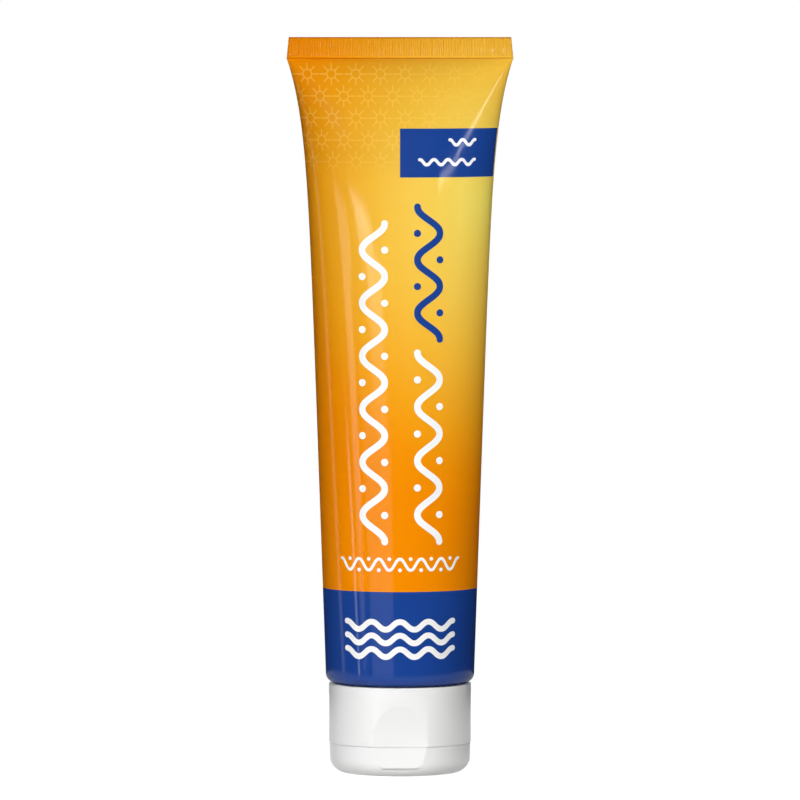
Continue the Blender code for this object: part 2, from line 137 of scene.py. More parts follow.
SCOOP_DEPTH = 0.00156
SCOOP_RISE = 0.0006
SCOOP_LEDGE = 0.0017
SCOOP_ACROSS = 0.090
SCOOP_REACH = 0.0120
SCOOP_GROOVE_DEPTH = 0.0006
SCOOP_GROOVE_HEIGHT = 0.0004
CUT_EDGE = 0.00012
FILM_WAIST_SHARE = 0.62
NOTCH_WIDTH = 0.0100
NOTCH_HEIGHT = 0.0050
STRAP_ANGLE = math.radians(31)
STRAP_WIDTH = 0.0022
STRAP_HEIGHT = 0.0038
STRAP_THICKNESS = 0.0003
POCKET_DEPTH = 0.00065

# Shoulder and neck, which the socket and the lotion fit
NECK_RADIUS = 0.0070
NECK_BORE_RADIUS = 0.0054
NECK_LENGTH = 0.0106
NECK_ROOT_ROUND = 0.0012
HEAD_WALL = 0.0012
HEAD_SKIRT = 0.0017
BEAD_RISE = 0.00035
BEAD_HEIGHT = 0.0005
BEAD_FROM_MOUTH = 0.0024
BEAD_FLANK = 0.0002
BEAD_LEAD_IN = 0.0010

# Print, in metres round the girth from the front's middle and in height above the floor
BAND_TOP = 0.0436
LABEL_LOW = 0.14045
LABEL_HIGH = 0.15185
LABEL_END = 0.0256
GLOW_GIRTH = 0.0214
GLOW_HEIGHT = 0.1344
GLOW_REACH = 0.0580
GLOW_SQUASH_SHARE = 0.79
SUN_PITCH = 0.00579
SUN_ROW_PITCH = 0.00513
SUN_TOP_ROW = 0.1645
SUN_ROWS = 5
SUN_PHASE = -0.0017
SUN_RING = 0.00106
SUN_RAY_END = 0.00260
SUN_RAYS = 8
SUN_LINE = 0.00014
SUN_LINK_LINE = 0.000084
SUN_LINK_SHARE = 0.8
SUN_SHARE = 0.42
SUN_GAP_SHADE = 0.06
# The suns are gone at this height, this far to the right, and at the back's middle. They reach their full
# strength this much higher up, at the front's middle, and this far from the back's.
SUN_FADE_LOW = 0.1398
SUN_FADE_RIGHT = 0.034
SUN_FADE_RISE = 0.0060
SUN_FADE_BACK = 0.0220
# Painted shade on the seal: how dark it is in its grooves, its crease and at its cut top edge, and where
# the first two lie
GROOVE_SHADE = 0.28
CREASE_SHADE = 0.45
CUT_SHADE = 0.60
GROOVE_START = 0.00056
CREASE_BELOW = 0.00008
CREASE_ABOVE = 0.00018

# Colours as they look on a screen, from 0 to 255
GLOW_COLOURS = [
    (0.00, (251, 144, 0)),
    (0.14, (251, 151, 6)),
    (0.28, (251, 168, 24)),
    (0.41, (251, 182, 46)),
    (0.55, (251, 196, 63)),
    (0.69, (251, 207, 80)),
    (0.83, (251, 216, 91)),
    (0.97, (251, 229, 105)),
]
PRINT_BLUE = (28, 68, 150)
PRINT_WHITE = (255, 255, 254)
SUN_COLOUR = (255, 206, 96)
# Colour of the shade painted on the seal's grooves, crease and top edge
CRIMP_PAINTED_SHADE = (150, 70, 0)
CAP_WHITE = (249, 249, 248)
LOTION_CREAM = (250, 246, 232)
FLOOR_WHITE = (172, 172, 172)

# Ornament
# Upright waves with dots: colour, distance from the front's middle, lowest, highest, turns
COLUMNS = [
    (PRINT_WHITE, -0.0063, 0.0553, 0.1297, 6),
    (PRINT_WHITE, 0.0068, 0.0553, 0.0995, 3.5),
    (PRINT_BLUE, 0.0068, 0.1026, 0.1336, 2.5),
]
COLUMN_SWING = 0.0027
COLUMN_STROKE = 0.0016
COLUMN_DOT = 0.00085
# A level wave with dots above the band
BORDER_LEVEL = 0.0500
BORDER_END = 0.0150
BORDER_TURNS = 6
BORDER_SWING = 0.0013
BORDER_STROKE = 0.0007
BORDER_DOT = 0.00045
# Level waves on the band and the label: height, start, end, turns, swing, stroke
LEVEL_WAVES = [
    (0.0293, -0.0136, 0.0136, 4, 0.0009, 0.00135),
    (0.0325, -0.0136, 0.0136, 4, 0.0009, 0.00135),
    (0.0357, -0.0136, 0.0136, 4, 0.0009, 0.00135),
    (0.1486, 0.0118, 0.0182, 2, 0.0006, 0.00075),
    (0.1440, 0.0046, 0.0182, 4, 0.0006, 0.00075),
]

# Plastics, with the depth of their relief in metres. A share is of that depth, or of the full colour.
PRINT_ROUGHNESS = 0.42
PRINT_RELIEF = 0.00003
PRINT_GRAIN_SHARE = 0.04
CAP_ROUGHNESS = 0.30
HINGE_ROUGHNESS = 0.45
HEAD_ROUGHNESS = 0.5
CAP_RELIEF = 0.00006
CAP_SKIN_SHARE = 0.05
CAP_FLOW_SHARE = 0.5
CAP_CLOUD_SHARE = 0.965
CREAM_RELIEF = 0.0002
CREAM_SWIRL_SHARE = 0.94
# Shade painted into the cap's colour in its inner corners, from the openness at which it starts to that at
# which it is full
CORNER_SHADE_SHARE = 0.50
CORNER_REACH = 0.0009
CORNER_START = 0.75
CORNER_FULL = 0.25
CORNER_SAMPLES = 8

# Fineness
CAP_SEGMENTS = 192
SLEEVE_SEGMENTS = 288
SLEEVE_RINGS = 120
SLEEVE_INNER_RINGS = 36
RING_CROWDING = 1.5
ARC_STEPS_PER_SEGMENT = 16
GIRTH_STEPS = 720
STEPS_PER_RIB = 7
FILL_SEGMENTS = 96
FILL_RINGS = 24
CORNER_STEPS = 8
EDGE_STEPS = 4
EDGE_SEGMENTS = 2
SCOOP_STEPS = 48
POCKET_STEPS = 8
FILM_SLICES = 16
STRAP_SLICES = 24
STRAP_STEPS = 6
TABLE_SEGMENTS = 128
OVERRUN = 0.0010
BITE = 0.0003
MERGE_DISTANCE = 0.000001
SMOOTH_ANGLE = math.radians(32)

# Soft lamps that gloss doesn't show: name, azimuth, distance, own height, height of aim, size, spread in
# degrees, share of full light, colour. Azimuth counts from the camera's side to the right.
SOFT_LAMPS = [
    ("soft_front", 1, 1.8, 0.52, 0.09, (1.2, 0.7), 180, 0.80, (1.0, 0.995, 0.985)),
    ("soft_left", -42, 1.2, 0.42, -0.06, (0.36, 0.30), 24, 0.60, (0.98, 0.99, 1.0)),
    ("soft_right", 55, 0.8, 0.15, 0.15, (0.3, 0.12), 18, 0.53, (1.0, 0.985, 0.965)),
    ("rear_right", 170, 1.8, 0.42, 0.09, (0.7, 0.7), 180, 0.32, (1.0, 1.0, 1.0)),
    ("rear_left", -170, 1.8, 0.42, 0.09, (0.7, 0.7), 180, 0.32, (1.0, 1.0, 1.0)),
    ("overhead", 0, 1.2, 1.28, 0.09, (0.8, 0.8), 180, 0.04, (1.0, 1.0, 1.0)),
]
# Bright panels that only gloss shows: name, azimuth, elevation, width and height in degrees, radiance
PANELS = [
    ("window_top", -34, 7.2, (14, 0.9), 9.0),
    ("window_upper", -30, 6.1, (14, 2.2), 8.0),
    ("window_middle", -23, 4.0, (13, 2.4), 6.0),
    ("window_low", -22, 1.6, (14, 2.4), 2.4),
    ("window_foot", -26, -4.6, (33, 10.0), 1.4),
    ("pane_top", -52, 3.6, (13, 2.8), 3.6),
    ("pane", -53.5, -0.4, (9, 5.2), 3.6),
    ("pane_low", -55, -4.4, (7, 2.8), 2.0),
    ("edge_near", -65.5, -6.0, (3, 7.0), 6.5),
    ("edge_far", -97, -2.0, (7, 16.0), 1.5),
    ("edge_flare", -108, -10.9, (16, 2.2), 4.0),
    ("bar_low", 36, 10.4, (14, 1.4), 14.0),
    ("bar_high", 59, 12.0, (34, 1.8), 15.0),
]
PANEL_DISTANCE = 1.2
PANEL_COLOUR = (1.0, 1.0, 1.0)
# Height on the tube's axis that distances and elevations count from
LAMP_CENTRE = 0.09
# Table, and how bright it is by itself where it is seen
TABLE_RADIUS = 0.22
TABLE_DROP = 0.0001
FLOOR_GLOW = 0.90
# Room: its light, what gloss sees of it, and how far back a direction points where gloss sees the backdrop
ROOM_LIGHT = 0.02
ROOM_GLOSS = 0.03
BACKDROP_EDGE = 0.985

# Camera: the photograph was taken from far away, a little above the cap
CAMERA_DISTANCE = 2.137
CAMERA_HEIGHT = 0.2035
CAMERA_AIM_HEIGHT = 0.0877
CAMERA_LENS = 409
CAMERA_SENSOR = 36
CAMERA_REACH = 50

# Levels and radii that follow
CORNER_CENTRE = SLEEVE_LOW + SLEEVE_CORNER
CRIMP_LOW = SLEEVE_TOP - CRIMP_HEIGHT
HOLLOW_TOP = CRIMP_LOW - SEAL_MARGIN
DECK_UNDERSIDE = SEAM + SEAM_LINE / 2
DECK_TOP = SEAM + SEAM_GAP / 2 + DECK_THICKNESS
LID_HEIGHT = SEAM - SEAM_LINE / 2
LID_INSIDE = LID_RADIUS - LID_WALL
BASE_INSIDE = BASE_RADIUS - BASE_WALL
HALF_GIRTH = math.pi * SLEEVE_RADIUS
SCOOP_Y = SCOOP_DEPTH - BASE_RADIUS - SCOOP_RADIUS
SCOOP_Z = SEAM + SCOOP_RISE
NOTCH_Y = FILM_BOX[0][1] - SEAM_GAP
POCKET_RADIUS = LID_RADIUS - POCKET_DEPTH
NECK_ROOT = NECK_MOUTH + NECK_LENGTH
BEAD_LOW = NECK_MOUTH + BEAD_FROM_MOUTH
BEAD_TOP = BEAD_LOW + BEAD_HEIGHT
SOCKET_LIP_RADIUS = NECK_RADIUS + FIT_GAP
SOCKET_GROOVE_RADIUS = NECK_RADIUS + BEAD_RISE + FIT_GAP
SOCKET_RADIUS = SOCKET_GROOVE_RADIUS + SOCKET_WALL
SHOULDER_EDGE = SLEEVE_RADIUS - SLEEVE_CORNER - SLEEVE_LIP - FIT_GAP


def linear(colour):
    """Linear light of a screen colour given from 0 to 255, with full alpha."""
    shares = [c / 255 for c in colour]
    return [*(s / 12.92 if s <= 0.04045 else ((s + 0.055) / 1.055) ** 2.4 for s in shares), 1.0]


def dimmed(colour, share):
    """A linear colour with this share of its light."""
    return [*(c * share for c in colour[:3]), 1.0]


def add_object(name, bm):
    """Turns a bmesh into an object with smooth faces and sharp edges."""
    bmesh.ops.recalc_face_normals(bm, faces=bm.faces)
    mesh = bpy.data.meshes.new(name)
    bm.to_mesh(mesh)
    bm.free()
    mesh.shade_smooth()
    mesh.set_sharp_from_angle(angle=SMOOTH_ANGLE)
    made = bpy.data.objects.new(name, mesh)
    bpy.context.scene.collection.objects.link(made)
    return made


def arc(centre, radius, start, end, steps):
    """Points in a plane on an arc between two angles in degrees, both ends included."""
    angles = [math.radians(start + (end - start) * i / steps) for i in range(steps + 1)]
    return [(centre[0] + radius * math.cos(t), centre[1] + radius * math.sin(t)) for t in angles]


def turned(name, outline):
    """Spins an (r, z) outline about Z. It is a closed loop, or a chain with both ends on the axis."""
    bm = bmesh.new()
    points = [bm.verts.new((r, 0.0, z)) for r, z in outline]
    edges = [bm.edges.new(pair) for pair in zip(points, points[1:])]
    if outline[0][0] > 0 or outline[-1][0] > 0:
        edges.append(bm.edges.new((points[-1], points[0])))
    spun = points + edges
    bmesh.ops.spin(bm, geom=spun, cent=(0, 0, 0), axis=(0, 0, 1), angle=math.tau, steps=CAP_SEGMENTS)
    bmesh.ops.remove_doubles(bm, verts=bm.verts, dist=MERGE_DISTANCE)
    return add_object(name, bm)


def prism(name, outline, along):
    """Extrudes a flat outline of 3-D points along a vector."""
    bm = bmesh.new()
    face = bm.faces.new([bm.verts.new(p) for p in outline])
    grown = bmesh.ops.extrude_face_region(bm, geom=[face])["geom"]
    moved = [g for g in grown if isinstance(g, bmesh.types.BMVert)]
    bmesh.ops.translate(bm, verts=moved, vec=along)
    return add_object(name, bm)


def lofted(name, rings):
    """Joins rings of points, all of one count, with faces, and closes the first and the last."""
    bm = bmesh.new()
    loops = [[bm.verts.new(p) for p in ring] for ring in rings]
    for low, high in zip(loops, loops[1:]):
        for i in range(len(low)):
            bm.faces.new((low[i - 1], low[i], high[i], high[i - 1]))
    bm.faces.new(loops[0])
    bm.faces.new(loops[-1])
    return add_object(name, bm)


def combine(target, other, operation):
    """Applies a Boolean and removes the other shape."""
    step = target.modifiers.new("combine", "BOOLEAN")
    step.operation = operation
    step.object = other
    step.solver = "EXACT"
    apply_modifiers(target)
    bpy.data.objects.remove(other, do_unlink=True)


def apply_modifiers(thing):
    """Makes the mesh what its modifiers make of it."""
    graph = bpy.context.evaluated_depsgraph_get()
    mesh = bpy.data.meshes.new_from_object(thing.evaluated_get(graph))
    thing.modifiers.clear()
    old = thing.data
    thing.data = mesh
    bpy.data.meshes.remove(old)


def soften(thing):
    """Rounds the sharp edges that a Boolean left, and takes the slivers out."""
    bevel = thing.modifiers.new("soft_edges", "BEVEL")
    bevel.width = CUT_EDGE
    bevel.segments = EDGE_SEGMENTS
    bevel.limit_method = "ANGLE"
    bevel.angle_limit = SMOOTH_ANGLE
    bevel.use_clamp_overlap = True
    bevel.harden_normals = False
    apply_modifiers(thing)
    bm = bmesh.new()
    bm.from_mesh(thing.data)
    bmesh.ops.dissolve_degenerate(bm, edges=bm.edges, dist=MERGE_DISTANCE)
    bm.to_mesh(thing.data)
    bm.free()
    thing.data.shade_smooth()
    thing.data.set_sharp_from_angle(angle=SMOOTH_ANGLE)


class Term:
    """A shader socket that takes arithmetic, so that a pattern reads as a formula."""

    def __init__(self, tree, socket):
        self.tree = tree
        self.socket = socket

    def math(self, operation, *others, clamp=False):
        node = self.tree.nodes.new("ShaderNodeMath")
        node.operation = operation
        node.use_clamp = clamp
        for slot, value in zip(node.inputs, (self, *others)):
            if isinstance(value, Term):
                self.tree.links.new(value.socket, slot)
            else:
                slot.default_value = value
        return Term(self.tree, node.outputs[0])

    def __add__(self, other):
        return self.math("ADD", other)

    def __sub__(self, other):
        return self.math("SUBTRACT", other)

    def __mul__(self, other):
        return self.math("MULTIPLY", other)

    def __truediv__(self, other):
        return self.math("DIVIDE", other)

    def __neg__(self):
        return self.math("MULTIPLY", -1.0)

    def __gt__(self, other):
        return self.math("GREATER_THAN", other)

    def __lt__(self, other):
        return self.math("LESS_THAN", other)

    def abs(self):
        return self.math("ABSOLUTE")

    def sin(self):
        return self.math("SINE")

    def cos(self):
        return self.math("COSINE")

    def root(self):
        return self.math("SQRT")

    def floor(self):
        return self.math("FLOOR")

    def angle_to(self, other):
        return self.math("ARCTAN2", other)

    def remainder(self, step):
        return self.math("FLOORED_MODULO", step)

    def or_else(self, other):
        return self.math("MAXIMUM", other)

    def clamped(self):
        return self.math("ADD", 0.0, clamp=True)

    def between(self, low, high):
        return (self > low) * (self < high)


def ramp(term, stops):
    """A colour ramp over a term, from (place, screen colour) stops."""
    node = term.tree.nodes.new("ShaderNodeValToRGB")
    marks = node.color_ramp.elements
    while len(marks) < len(stops):
        marks.new(0.5)
    for mark, (place, colour) in zip(marks, stops):
        mark.position = place
        mark.color = linear(colour)
    term.tree.links.new(term.socket, node.inputs[0])
    return node.outputs[0]


def mixed(tree, share, below, above):
    """Colour that goes from below to above as the share goes from 0 to 1."""
    node = tree.nodes.new("ShaderNodeMix")
    node.data_type = "RGBA"
    # Sockets of all data types are there. These are the factor and the two colours.
    sockets = [node.inputs[0], node.inputs[6], node.inputs[7]]
    for slot, value in zip(sockets, (share, below, above)):
        if isinstance(value, Term):
            tree.links.new(value.socket, slot)
        elif isinstance(value, bpy.types.NodeSocket):
            tree.links.new(value, slot)
        else:
            slot.default_value = value
    return node.outputs[2]


def new_material(name, roughness, **settings):
    """A Principled material. Other settings name the shader's sockets, with _ for a space."""
    made = bpy.data.materials.new(name)
    made.use_nodes = True
    shader = made.node_tree.nodes["Principled BSDF"]
    shader.inputs["Roughness"].default_value = roughness
    for key, value in settings.items():
        shader.inputs[key.replace("_", " ")].default_value = value
    return made, made.node_tree, shader


def noise(tree, scale, detail, vector=None):
    """Noise over the object's coordinates, or over a vector."""
    node = tree.nodes.new("ShaderNodeTexNoise")
    node.inputs["Scale"].default_value = scale
    node.inputs["Detail"].default_value = detail
    source = vector or tree.nodes.new("ShaderNodeTexCoord").outputs["Object"]
    tree.links.new(source, node.inputs["Vector"])
    return Term(tree, node.outputs["Fac"])


def stretched(tree, x, y, z):
    """Object coordinates times a factor on each axis."""
    coordinates = tree.nodes.new("ShaderNodeTexCoord")
    mapping = tree.nodes.new("ShaderNodeMapping")
    mapping.inputs["Scale"].default_value = (x, y, z)
    tree.links.new(coordinates.outputs["Object"], mapping.inputs["Vector"])
    return mapping.outputs["Vector"]


def bump(tree, shader, height, distance):
    """Small relief from a height term, as deep as the distance in metres."""
    node = tree.nodes.new("ShaderNodeBump")
    node.inputs["Strength"].default_value = 1.0
    node.inputs["Distance"].default_value = distance
    tree.links.new(height.socket, node.inputs["Height"])
    tree.links.new(node.outputs["Normal"], shader.inputs["Normal"])


def vary_roughness(tree, shader, middle, spread, source):
    """Roughness that follows a noise term about its middle value."""
    value = (source - 0.5) * spread + middle
    tree.links.new(value.socket, shader.inputs["Roughness"])


def girth_radius(half_width, half_depth):
    """Radius of the circle that is as long round as this ellipse."""
    spread = (3 * half_width + half_depth) * (half_width + 3 * half_depth)
    return (3 * (half_width + half_depth) - math.sqrt(spread)) / 2


def depth_from_girth(half_width, radius):
    """Half-depth of the ellipse with this half-width that is as long round as a circle."""
    linear_part = 6 * radius - 4 * half_width
    rest = 3 * half_width**2 - 6 * radius * half_width + 2 * radius**2
    return (linear_part + math.sqrt(linear_part**2 - 12 * rest)) / 6


def sleeve_half_width(z):
    """It grows evenly up the sleeve, and faster near the seal."""
    steady = SIDE_SPREAD * (z - CORNER_CENTRE) / (CRIMP_LOW - CORNER_CENTRE)
    flare = CRIMP_HALF_WIDTH - SLEEVE_RADIUS - SIDE_SPREAD
    return SLEEVE_RADIUS + steady + flare * math.exp((z - CRIMP_LOW) / FLARE_LENGTH)


def sleeve_half_depth(z):
    """The sleeve doesn't stretch, so it gets thinner as it spreads. The seal draws it in a little."""
    pressed = girth_radius(CRIMP_HALF_WIDTH, CRIMP_THICKNESS / 2)
    radius = SLEEVE_RADIUS - (SLEEVE_RADIUS - pressed) * math.exp((z - CRIMP_LOW) / FLARE_LENGTH)
    return depth_from_girth(sleeve_half_width(z), radius)


def even_ring(z, half_width, half_depth, segments):
    """Points round an ellipse at even steps of arc length, from the back round by the right."""
    fine = np.linspace(2.5 * math.pi, 0.5 * math.pi, ARC_STEPS_PER_SEGMENT * segments + 1)
    x = half_width * np.cos(fine)
    y = half_depth * np.sin(fine)
    walked = np.concatenate([[0], np.cumsum(np.hypot(np.diff(x), np.diff(y)))])
    marks = np.linspace(0, walked[-1], segments, endpoint=False)
    level = np.full(segments, z)
    return np.column_stack([np.interp(marks, walked, x), np.interp(marks, walked, y), level])


def sleeve_ring(z, inset, segments):
    return even_ring(z, sleeve_half_width(z) - inset, sleeve_half_depth(z) - inset, segments)


def sleeve_levels(count, top):
    """Heights of the sleeve's rings above its corner, closer together towards the top."""
    shares = (1 - np.arange(1, count + 1) / count) ** RING_CROWDING
    return top - (top - CORNER_CENTRE) * shares


def corner_rings(inset):
    """Rings of the sleeve's lip and rounded corner, or of the same surface a wall further in."""
    centre = (SLEEVE_RADIUS - SLEEVE_CORNER, CORNER_CENTRE)
    rounding = arc(centre, SLEEVE_CORNER - inset, -90, 0, CORNER_STEPS)
    lip = (SLEEVE_RADIUS - SLEEVE_CORNER - SLEEVE_LIP, SLEEVE_LOW + inset)
    return [even_ring(z, r, r, SLEEVE_SEGMENTS) for r, z in [lip, *rounding]]


def wall_rings(inset, count, top):
    """Rings of the sleeve's wall above its corner, on its outside or a wall further in."""
    return [sleeve_ring(z, inset, SLEEVE_SEGMENTS) for z in sleeve_levels(count, top)]


def sleeve_skin():
    """The sleeve's wall, from the top of its hollow down, round its lip and up its outside to the seal."""
    inner = corner_rings(SLEEVE_WALL) + wall_rings(SLEEVE_WALL, SLEEVE_INNER_RINGS, HOLLOW_TOP)
    outer = corner_rings(0) + wall_rings(0, SLEEVE_RINGS, CRIMP_LOW)
    skin = lofted("sleeve_skin", inner[::-1] + outer)
    set_print_coordinates(skin, sleeve_girth)
    return skin


def set_print_coordinates(thing, girth_of):
    """Gives each face corner its distance round the girth from the front's middle, and its height.

    A face that spans the back's middle takes all its distances from the right.
    """
    mesh = thing.data
    layer = mesh.uv_layers.new(name="print")
    places = np.array([v.co for v in mesh.vertices])
    girth = np.array([girth_of(*p) for p in places])
    for face in mesh.polygons:
        values = girth[list(face.vertices)]
        wraps = values.max() - values.min() > SLEEVE_RADIUS
        for loop, value, vertex in zip(face.loop_indices, values, face.vertices):
            layer.data[loop].uv = (abs(value) if wraps else value, places[vertex][2])


@functools.cache
def girth_table(level):
    """Turn about the axis against distance walked from the front's middle, at one level of the sleeve."""
    z = min(max(level, CORNER_CENTRE), CRIMP_LOW)
    wide, deep = sleeve_half_width(z), sleeve_half_depth(z)
    turn = np.linspace(0, math.pi, GIRTH_STEPS + 1)
    path = np.column_stack([wide * np.sin(turn), -deep * np.cos(turn)])
    walked = np.concatenate([[0], np.cumsum(np.hypot(*np.diff(path, axis=0).T))])
    return turn, walked, wide, deep


def sleeve_girth(x, y, z):
    """Signed distance round the sleeve from the front's middle to this point."""
    turn, walked, wide, deep = girth_table(round(float(z), 6))
    around = math.atan2(abs(x) / wide, -y / deep)
    return math.copysign(float(np.interp(around, turn, walked)), x)


def crimp_girth(x, y, z):
    """The same distance on the flat seal, whose front and back are each as wide as it is."""
    return x if y < 0 else math.copysign(2 * CRIMP_HALF_WIDTH - abs(x), x)


def rib_wave(x, sine):
    """Uneven ribs along the seal, from -1 in a groove to 1 on a rib. It takes numbers or shader terms."""
    slow, quick = [sine(x * (math.tau / pitch)) * turn for pitch, turn in CRIMP_RIB_DRIFTS]
    fade = sine(x * (math.tau / CRIMP_RIB_FADE_PITCH) + CRIMP_RIB_FADE_PHASE)
    strength = fade * CRIMP_RIB_FADE_SHARE + (1 - CRIMP_RIB_FADE_SHARE)
    return sine(x * (math.tau / CRIMP_RIB_PITCH) + (slow + quick)) * strength


def crimp_plate():
    """The pressed seal: a flat bar with fine ribs on both faces and a pressed line along its lower edge."""
    steps = round(2 * CRIMP_HALF_WIDTH / CRIMP_RIB_PITCH) * STEPS_PER_RIB
    x = np.linspace(-CRIMP_HALF_WIDTH, CRIMP_HALF_WIDTH, steps + 1)
    edge = np.clip((CRIMP_HALF_WIDTH - np.abs(x)) / CRIMP_CORNER, 0, 1)
    rounding = CRIMP_END_SHARE + (1 - CRIMP_END_SHARE) * np.sqrt(1 - (1 - edge) ** 2)
    front_ribs = rib_wave(x, np.sin)
    back_ribs = rib_wave(np.copysign(2 * CRIMP_HALF_WIDTH - np.abs(x), x), np.sin)
    # Height, how far each face steps out, and the share of the ribs' depth
    levels = [
        (CRIMP_LOW - BITE, -CRIMP_LINE_DEPTH, 0),
        (CRIMP_LOW, -CRIMP_LINE_DEPTH, 0),
        (CRIMP_LOW + CRIMP_LINE_WIDTH / 2, -CRIMP_LINE_DEPTH / 2, 0),
        (CRIMP_LOW + CRIMP_LINE_WIDTH, 0, 0.3),
        (CRIMP_LOW + 2 * CRIMP_LINE_WIDTH, 0, 1),
        (SLEEVE_TOP - CRIMP_CORNER, 0, 1),
        (SLEEVE_TOP - CRIMP_CORNER / 3, -CRIMP_CORNER / 4, 0.6),
        (SLEEVE_TOP, -CRIMP_CORNER / 2, 0),
    ]
    rings = []
    for z, step, ribbed in levels:
        rise = max(z - CRIMP_LOW, 0) / CRIMP_HEIGHT
        narrow = 1 - CRIMP_DRAW_IN / CRIMP_HALF_WIDTH * rise
        ring = []
        for side, ribs, places in ((-1, front_ribs, x), (1, back_ribs[::-1], x[::-1])):
            depth = (CRIMP_THICKNESS / 2 + step + ribbed * CRIMP_RIB_DEPTH / 2 * ribs) * rounding
            ring += [(px * narrow, side * d, z) for px, d in zip(places, depth)]
        rings.append(ring)
    plate = lofted("crimp_seal", rings)
    set_print_coordinates(plate, crimp_girth)
    return plate


def print_terms(tree):
    """The distance round the girth and the height, as shader terms."""
    node = tree.nodes.new("ShaderNodeUVMap")
    node.uv_map = "print"
    split = tree.nodes.new("ShaderNodeSeparateXYZ")
    tree.links.new(node.outputs["UV"], split.inputs[0])
    return Term(tree, split.outputs["X"]), Term(tree, split.outputs["Y"])


def sun_rows(around, height):
    """Staggered rows of small suns: a ring and rays each, joined by thin level lines."""
    row = ((height - SUN_TOP_ROW) / -SUN_ROW_PITCH + 0.5).floor()
    odd = row.remainder(2.0)
    down = height - SUN_TOP_ROW + row * SUN_ROW_PITCH
    along = around - SUN_PHASE - odd * (SUN_PITCH / 2)
    across = along.remainder(SUN_PITCH) - SUN_PITCH / 2
    distance = (across * across + down * down).root()
    ring = (distance - SUN_RING).abs() < SUN_LINE
    spoke = (down.angle_to(across) * float(SUN_RAYS)).remainder(math.tau) - math.pi
    offset = spoke.abs() * -1.0 + math.pi
    rays = (offset * distance / SUN_RAYS < SUN_LINE) * distance.between(SUN_RING, SUN_RAY_END)
    links = (down.abs() < SUN_LINK_LINE) * (distance > SUN_RING)
    return ring.or_else(rays).or_else(links * SUN_LINK_SHARE) * row.between(-0.5, SUN_ROWS - 0.5)


def sun_fade(around, height):
    """One where the suns are at their strongest, and zero where they have faded out."""
    fade = ((height - SUN_FADE_LOW) / SUN_FADE_RISE).clamped()
    fade = fade * ((around - SUN_FADE_RIGHT) / -SUN_FADE_RIGHT).clamped()
    return fade * ((around + HALF_GIRTH) / SUN_FADE_BACK).clamped()


def wave(across, along, start, end, turns, swing, stroke):
    """A thick line with round ends that swings across as it runs, from one crest to another."""
    rate = math.tau * turns / (end - start)
    angle = (along - start) * rate
    slope = angle.sin() * (-swing * rate)
    offset = (across - angle.cos() * swing).abs() / (slope * slope + 1.0).root()
    line = (offset < stroke / 2) * along.between(start, end)
    first_end = spot(across, along, swing, start, stroke / 2)
    last_end = spot(across, along, swing * math.cos(math.tau * turns), end, stroke / 2)
    return line.or_else(first_end).or_else(last_end)


def spot(across, along, x, y, radius):
    """One in a round dot, else zero."""
    side = across - x
    rise = along - y
    return (side * side + rise * rise).root() < radius


def dots(across, along, first, step, radius):
    """Round dots at even steps along a line."""
    nearest = (along - first + step / 2).remainder(step) - step / 2
    return (across * across + nearest * nearest).root() < radius


def waves_and_dots(across, along, start, end, turns, swing, stroke, dot):
    """A wave with a dot in the hollow of each bend."""
    step = (end - start) / turns
    inside = along.between(start + step / 4, end - step / 4)
    near = dots(across + swing, along, start, step, dot)
    far = dots(across - swing, along, start + step / 2, step, dot)
    return wave(across, along, start, end, turns, swing, stroke).or_else(near.or_else(far) * inside)


def ornament(around, height):
    """The waves and dots, as (share, colour) pairs."""
    shape = (COLUMN_SWING, COLUMN_STROKE, COLUMN_DOT)
    for colour, middle, low, high, turns in COLUMNS:
        yield waves_and_dots(around - middle, height, low, high, turns, *shape), colour
    line = (-BORDER_END, BORDER_END, BORDER_TURNS, BORDER_SWING, BORDER_STROKE, BORDER_DOT)
    yield waves_and_dots(height - BORDER_LEVEL, around, *line), PRINT_WHITE
    for level, *line in LEVEL_WAVES:
        yield wave(height - level, around, *line), PRINT_WHITE


def ground_colour(around, height):
    """Orange that warms to yellow about a glow on the upper right."""
    side = (around - GLOW_GIRTH + HALF_GIRTH).remainder(2 * HALF_GIRTH) - HALF_GIRTH
    rise = (height - GLOW_HEIGHT) * GLOW_SQUASH_SHARE
    distance = (side * side + rise * rise).root()
    glow = (distance / -GLOW_REACH + 1.0).clamped()
    return ramp(glow, GLOW_COLOURS)


def painted_seal_shade(around, height):
    """Painted shade: how much the print darkens in the seal's grooves, its crease and at its cut top edge,
    where shade falls.
    """
    edge = SLEEVE_TOP - CRIMP_CORNER
    groove = (rib_wave(around, Term.sin) * -0.5 + 0.5) * height.between(CRIMP_LOW + GROOVE_START, edge)
    crease = height.between(CRIMP_LOW - CREASE_BELOW, CRIMP_LOW + CREASE_ABOVE)
    cut = height > edge
    return (groove * GROOVE_SHADE).or_else(crease * CREASE_SHADE).or_else(cut * CUT_SHADE)


